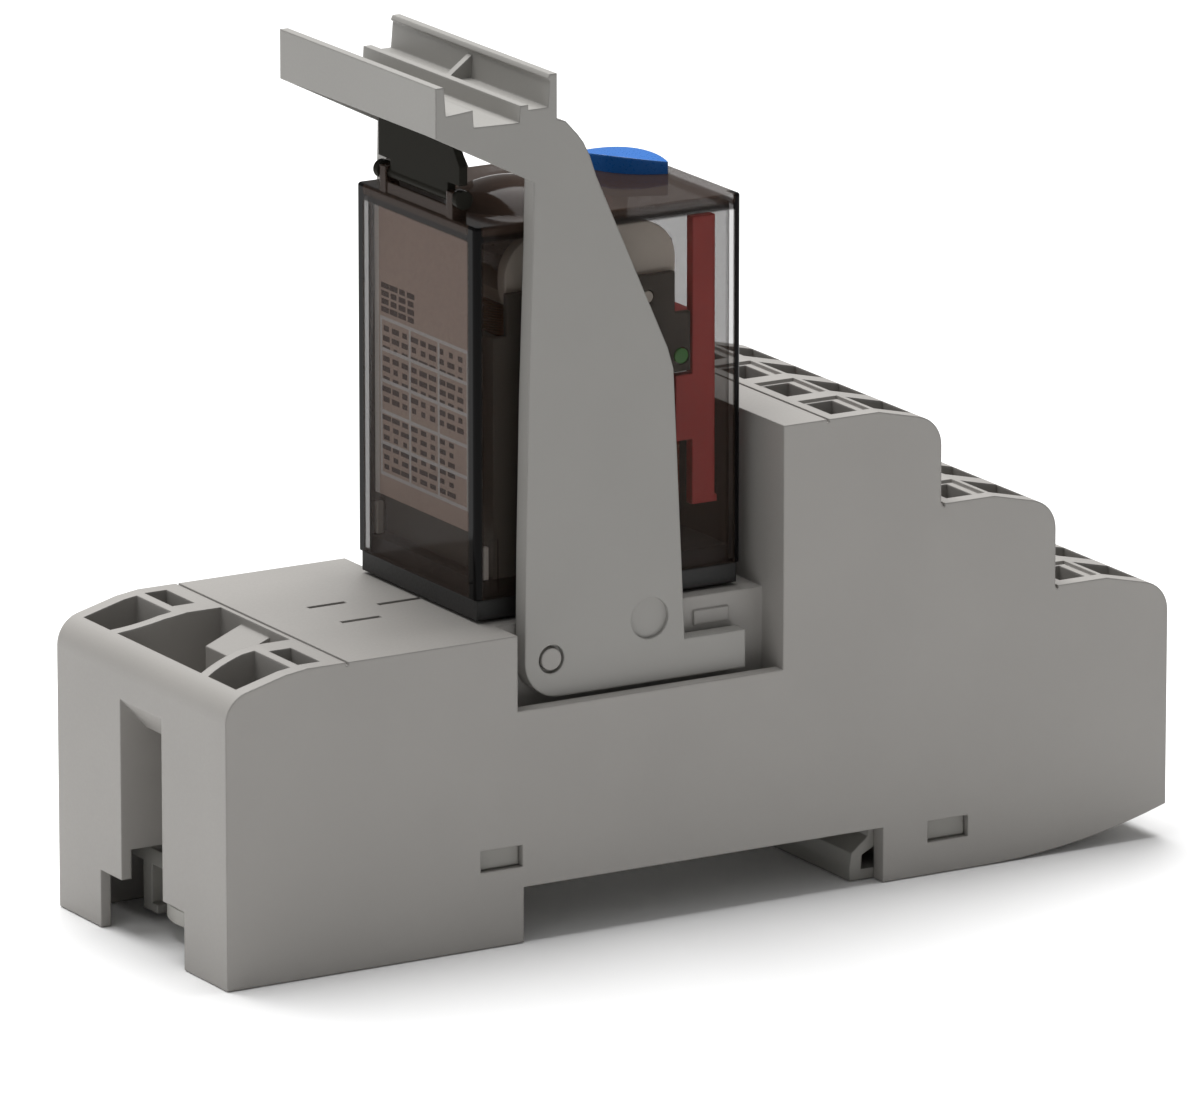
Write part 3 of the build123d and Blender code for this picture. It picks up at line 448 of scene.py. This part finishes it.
def bar_field_tree():
    """The node tree: a grid of bars of random length, set upright, made real and inked."""
    tree = bpy.data.node_groups.new("bar field", "GeometryNodeTree")
    tree.interface.new_socket("Geometry", in_out="OUTPUT", socket_type="NodeSocketGeometry")
    kinds = {"Rows": "Int", "Columns": "Int", "Field width": "Float", "Field height": "Float",
             "Bar width": "Float", "Bar height": "Float", "Shortest": "Float", "Seed": "Int",
             "Centre": "Vector", "Ink": "Material"}
    for label, kind in kinds.items():
        tree.interface.new_socket(label, in_out="INPUT", socket_type="NodeSocket" + kind)
    given = tree.nodes.new("NodeGroupInput").outputs
    last = tree.nodes.new("NodeGroupOutput")

    def node(kind, **links):
        made = tree.nodes.new(kind)
        for key, source in links.items():
            target = made.inputs[key.replace("_", " ")]
            if isinstance(source, bpy.types.NodeSocket):
                tree.links.new(source, target)
            else:
                target.default_value = source
        return made.outputs

    points = node("GeometryNodeMeshGrid", Size_X=given["Field width"], Size_Y=given["Field height"],
                  Vertices_X=given["Columns"], Vertices_Y=given["Rows"])["Mesh"]
    bar_size = node("ShaderNodeCombineXYZ", X=given["Bar width"], Y=given["Bar height"],
                    Z=BAR_THICKNESS)[0]
    bar = node("GeometryNodeMeshCube", Size=bar_size)["Mesh"]
    length = node("FunctionNodeRandomValue", Seed=given["Seed"])[RANDOM_FLOAT_RESULT]
    tree.links.new(given["Shortest"], length.node.inputs[RANDOM_FLOAT_MIN])
    stretch = node("ShaderNodeCombineXYZ", X=length, Y=1.0, Z=1.0)[0]
    bars = node("GeometryNodeInstanceOnPoints", Points=points, Instance=bar, Scale=stretch)["Instances"]
    placed = node("GeometryNodeTransform", Geometry=bars, Translation=given["Centre"],
                  Rotation=UPRIGHT_ON_END)["Geometry"]
    solid = node("GeometryNodeRealizeInstances", Geometry=placed)["Geometry"]
    inked = node("GeometryNodeSetMaterial", Geometry=solid, Material=given["Ink"])["Geometry"]
    tree.links.new(inked, last.inputs["Geometry"])
    return tree


bar_tree = bar_field_tree()
print("bar field nodes:", len(bar_tree.nodes))

# %% Printed fields on the label card
card_low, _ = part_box("type_label")
# Fields that cross stand off the card by different lifts, so that no two faces fight for one plane.
DASH_LIFT, RULE_LIFT, COLUMN_LIFT = 0.012, 0.016, 0.020


def bar_field(name, y_span, z_span, rows, columns, bar, ink, lift, shortest=1.0, seed=1):
    """Bars on the card between y_span and z_span, all in millimetres, as one plain mesh."""
    inputs = {"Rows": rows, "Columns": columns, "Field width": (y_span[1] - y_span[0]) * MM,
              "Field height": (z_span[1] - z_span[0]) * MM, "Bar width": bar[0] * MM,
              "Bar height": bar[1] * MM, "Shortest": shortest, "Seed": seed, "Ink": ink,
              "Centre": (card_low.x - lift * MM, sum(y_span) / 2 * MM, sum(z_span) / 2 * MM)}
    piece = add_to_scene(name, bpy.data.meshes.new(name))
    modifier = piece.modifiers.new("bars", "NODES")
    modifier.node_group = bar_tree
    for item in bar_tree.interface.items_tree:
        if item.in_out == "INPUT":
            modifier[item.identifier] = inputs[item.name]
    piece.data = plain_mesh(piece)
    piece.modifiers.clear()
    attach(piece, "relay")
    print(name, "bars:", rows * columns, "faces:", len(piece.data.polygons))


bar_field("label_heading", y_span=(2.4, 7.0), z_span=(53.1, 55.3), rows=4, columns=4,
          bar=(1.45, 0.5), ink=dark_ink, lift=DASH_LIFT, shortest=0.6, seed=3)
bar_field("label_upper_table", y_span=(-6.4, 6.8), z_span=(44.9, 51.4), rows=8, columns=9,
          bar=(1.55, 0.5), ink=dark_ink, lift=DASH_LIFT, shortest=0.4, seed=5)
bar_field("label_lower_table", y_span=(-4.8, 6.8), z_span=(38.7, 43.2), rows=6, columns=8,
          bar=(1.55, 0.45), ink=dark_ink, lift=DASH_LIFT, shortest=0.4, seed=8)
bar_field("label_ruled_lines", y_span=(-0.01, 0.01), z_span=(38.0, 52.3), rows=6, columns=1,
          bar=(15.8, 0.32), ink=pale_ink, lift=RULE_LIFT)
bar_field("label_columns", y_span=(-7.7, 7.7), z_span=(45.15, 45.16), rows=1, columns=4,
          bar=(0.32, 14.5), ink=pale_ink, lift=COLUMN_LIFT)

# %% Give each solid its finish
finishes = {
    housing_gray: ["housing"],
    carrier_gray: ["bottom_carrier"],
    foot_gray: ["rail_foot"],
    lever_gray: ["retaining_lever"],
    busbar_copper: ["open_contact_busbars", "closed_contact_busbars", "common_busbars", "coil_busbars"],
    spring_steel: ["contact_wire_clamps", "coil_wire_clamps", "foot_spring", "armature_leaf_spring"],
    base_black: ["relay_base"],
    contact_brass: ["closed_contacts", "open_contacts", "common_blades", "coil_blades",
                    "moving_contact_springs"],
    frame_black: ["insulating_frame"],
    lamp_green: ["status_lamp"],
    bobbin_cream: ["coil_bobbin"],
    coil_wire: ["coil_winding"],
    soft_iron: ["coil_core", "yoke", "armature"],
    card_red: ["actuating_card"],
    cover_smoke: ["relay_cover"],
    label_paper: ["type_label"],
    flap_smoke: ["lock_flap"],
    button_blue: ["test_button"],
}
for material, names in finishes.items():
    for name in names:
        wear(nodes[name], material)
print("solids finished:", sum(len(names) for names in finishes.values()))


# %% [markdown]
# The rail foot's return spring is wound from round wire. It is drawn here as one smooth helix between
# its fixed end on the socket and the foot.

# %% Return spring of the rail foot
STEPS_PER_TURN = 32


def helix(name, start, length, radius, wire, turns):
    """A spring of round wire, wound along x from the point start, as a mesh tube."""
    line = bpy.data.curves.new(name, "CURVE")
    line.dimensions = "3D"
    line.bevel_depth = wire / 2
    line.bevel_resolution = 4
    line.use_fill_caps = True
    spline = line.splines.new("POLY")
    steps = turns * STEPS_PER_TURN
    spline.points.add(steps)
    for number, point in enumerate(spline.points):
        share = number / steps
        angle = share * turns * 2 * math.pi
        point.co = (start.x + wire / 2 + share * (length - wire),
                    start.y + radius * math.cos(angle), start.z + radius * math.sin(angle), 1)
    drawn = add_to_scene(name + "_line", line)
    piece = add_to_scene(name, plain_mesh(drawn))
    bpy.data.objects.remove(drawn)
    return piece


spring_low, spring_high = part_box("foot_spring")
spring_start = Vector((spring_low.x, 0, (spring_low.z + spring_high.z) / 2))
spring_length = spring_high.x - spring_low.x
foot_coil = helix("foot_return_spring", spring_start, spring_length,
                  radius=1.2 * MM, wire=0.4 * MM, turns=4)
wear(foot_coil, spring_steel)
foot_coil.data.shade_smooth()
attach(foot_coil, "socket")
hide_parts("foot_spring")
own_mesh(foot_coil)
print("spring vertices:", len(foot_coil.data.vertices))


# %% [markdown]
# The cover snaps over two small upright catches at the label end of the relay's base. They are drawn
# near white, a painted highlight for the glints that the cover shows over them, and their edges are
# softened.

# %% Catches of the cover
def catches(name, x_span, y_span, z_span, radius):
    """A pair of upright tabs, one on each side of the middle, all sizes in millimetres."""
    spans = (x_span, y_span, z_span)
    size = [(high - low) * MM for low, high in spans]
    mesh = bmesh.new()
    for side in (-1, 1):
        middle = Vector([sum(span) / 2 * MM for span in spans])
        middle.y *= side
        place = Matrix.Translation(middle) @ Matrix.Diagonal([*size, 1])
        bmesh.ops.create_cube(mesh, size=1, matrix=place)
    bmesh.ops.bevel(mesh, geom=mesh.edges[:], offset=radius * MM, segments=3, affect="EDGES",
                    profile=0.5)
    piece = add_to_scene(name, bpy.data.meshes.new(name))
    mesh.to_mesh(piece.data)
    mesh.free()
    # The catches' near-white colour is a painted highlight.
    wear(piece, catch_painted_highlight)
    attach(piece, "relay")
    return piece


CATCH_HEIGHT = 3.0
base_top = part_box("relay_base")[1].z / MM
cover_catches = catches("cover_catches", x_span=(-19.6, -18.9), y_span=(9.1, 9.65),
                        z_span=(base_top, base_top + CATCH_HEIGHT), radius=0.12)
print("catch faces:", len(cover_catches.data.polygons))

# %% [markdown]
# A product shot on white wants a table and a background of one pale tone and light from large soft
# sources. The tops are the brightest faces, the end comes next and the long side is in half shade, so
# the main lamp hangs overhead, a weak one stands to the left, and the side is lit by the pale
# surroundings and by the light that the table throws back.

# %% Table and studio light
TABLE_WIDTH, TABLE_TOP = 12, -0.1 * MM
TABLE_TONE = 0.93
WORLD_STRENGTH = 0.28
PART_MIDDLE = Vector((0, 0, 0.03))

bpy.ops.mesh.primitive_plane_add(size=TABLE_WIDTH, location=(0, 0, TABLE_TOP))
table = bpy.context.active_object
table.name = "table"
table_paint = Finish("table")
table_paint.set(Base_Color=(TABLE_TONE, TABLE_TONE, TABLE_TONE, 1), Roughness=0.9)
wear(table, table_paint.material)

world = bpy.data.worlds.new("studio")
world.use_nodes = True
background = world.node_tree.nodes["Background"]
background.inputs["Color"].default_value = (1, 1, 1, 1)
background.inputs["Strength"].default_value = WORLD_STRENGTH
bpy.context.scene.world = world


def soft_lamp(name, place, size, watts):
    """A square lamp that looks at the middle of the relay module."""
    lamp_data = bpy.data.lights.new(name, "AREA")
    lamp_data.size = size
    lamp_data.energy = watts
    lamp = add_to_scene(name, lamp_data)
    lamp.location = place
    look_along(lamp, PART_MIDDLE - Vector(place))


soft_lamp("overhead", place=(0.03, 0.25, 0.88), size=0.8, watts=13.8)
soft_lamp("left", place=(-0.9, 0.1, 0.4), size=0.5, watts=0.5)
